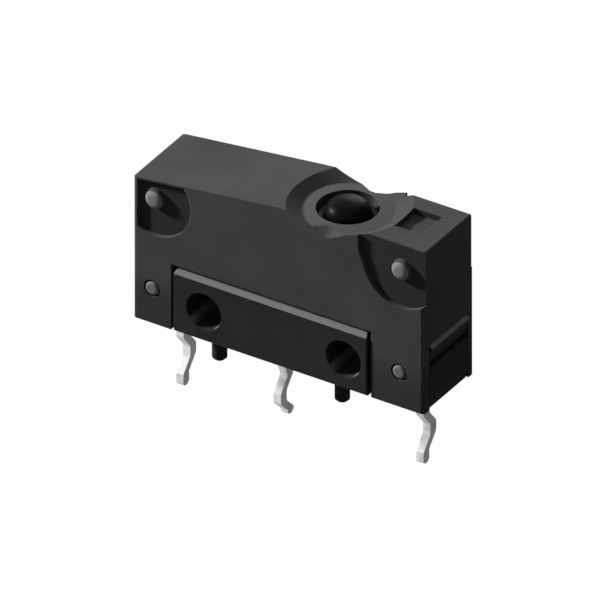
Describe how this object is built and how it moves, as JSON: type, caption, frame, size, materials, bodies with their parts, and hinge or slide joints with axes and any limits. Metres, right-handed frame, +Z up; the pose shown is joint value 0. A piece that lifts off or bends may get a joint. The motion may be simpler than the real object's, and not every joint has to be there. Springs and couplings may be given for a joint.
{
  "type": "micro switch",
  "caption": "Sealed snap-action micro switch with a rubber-capped button, side mounting holes, lever pivots, locating pegs and kinked board terminals.",
  "frame": {"origin": "middle of the body's bottom face", "axes": "+X along the body towards the square block beside the button, +Y to the back, +Z up"},
  "size_m": [0.02, 0.0058, 0.0161],
  "materials": {
    "cover_plastic": "moulded, satin black",
    "base_plastic": "moulded, satin black",
    "button_plastic": "moulded, smooth black",
    "cap_rubber": "smooth black rubber",
    "seal_rubber": "black rubber",
    "potting_resin": "cast dark resin",
    "tinned_brass": "bright tin plate over brass strip",
    "spring_bronze": "rolled spring bronze",
    "contact_silver": "silver alloy"
  },
  "bodies": {
    "housing": {"base": "base_plastic", "cover": "cover_plastic", "case_seal": "seal_rubber", "com_terminal": "tinned_brass", "no_terminal": "tinned_brass", "nc_terminal": "tinned_brass", "com_terminal_seal": "potting_resin", "no_terminal_seal": "potting_resin", "nc_terminal_seal": "potting_resin", "no_contact": "contact_silver", "nc_contact": "contact_silver", "com_anchor": "tinned_brass", "rubber_cap": "cap_rubber", "cap_ring": "cover_plastic"},
    "button": {"push_button": "button_plastic"},
    "blade": {"contact_blade": "spring_bronze", "snap_spring": "spring_bronze", "moving_contact": "contact_silver"}
  },
  "joints": [
    {"name": "button_slide", "type": "slide", "parent": "housing", "child": "button", "axis": [0, 0, -1], "range_m": [0, 0.0006], "stiffness_N_per_m": 1500, "springref_m": -0.0008, "deforming": ["rubber_cap"]},
    {"name": "blade_hinge", "type": "hinge", "parent": "housing", "child": "blade", "pos_m": [-0.00728, 0, 0.00635], "axis": [0, 1, 0], "range_deg": [0, 2.1]}
  ],
  "couplings": [
    {"joint": "blade_hinge", "follows": "button_slide", "rad_per_m": 60.694}
  ]
}
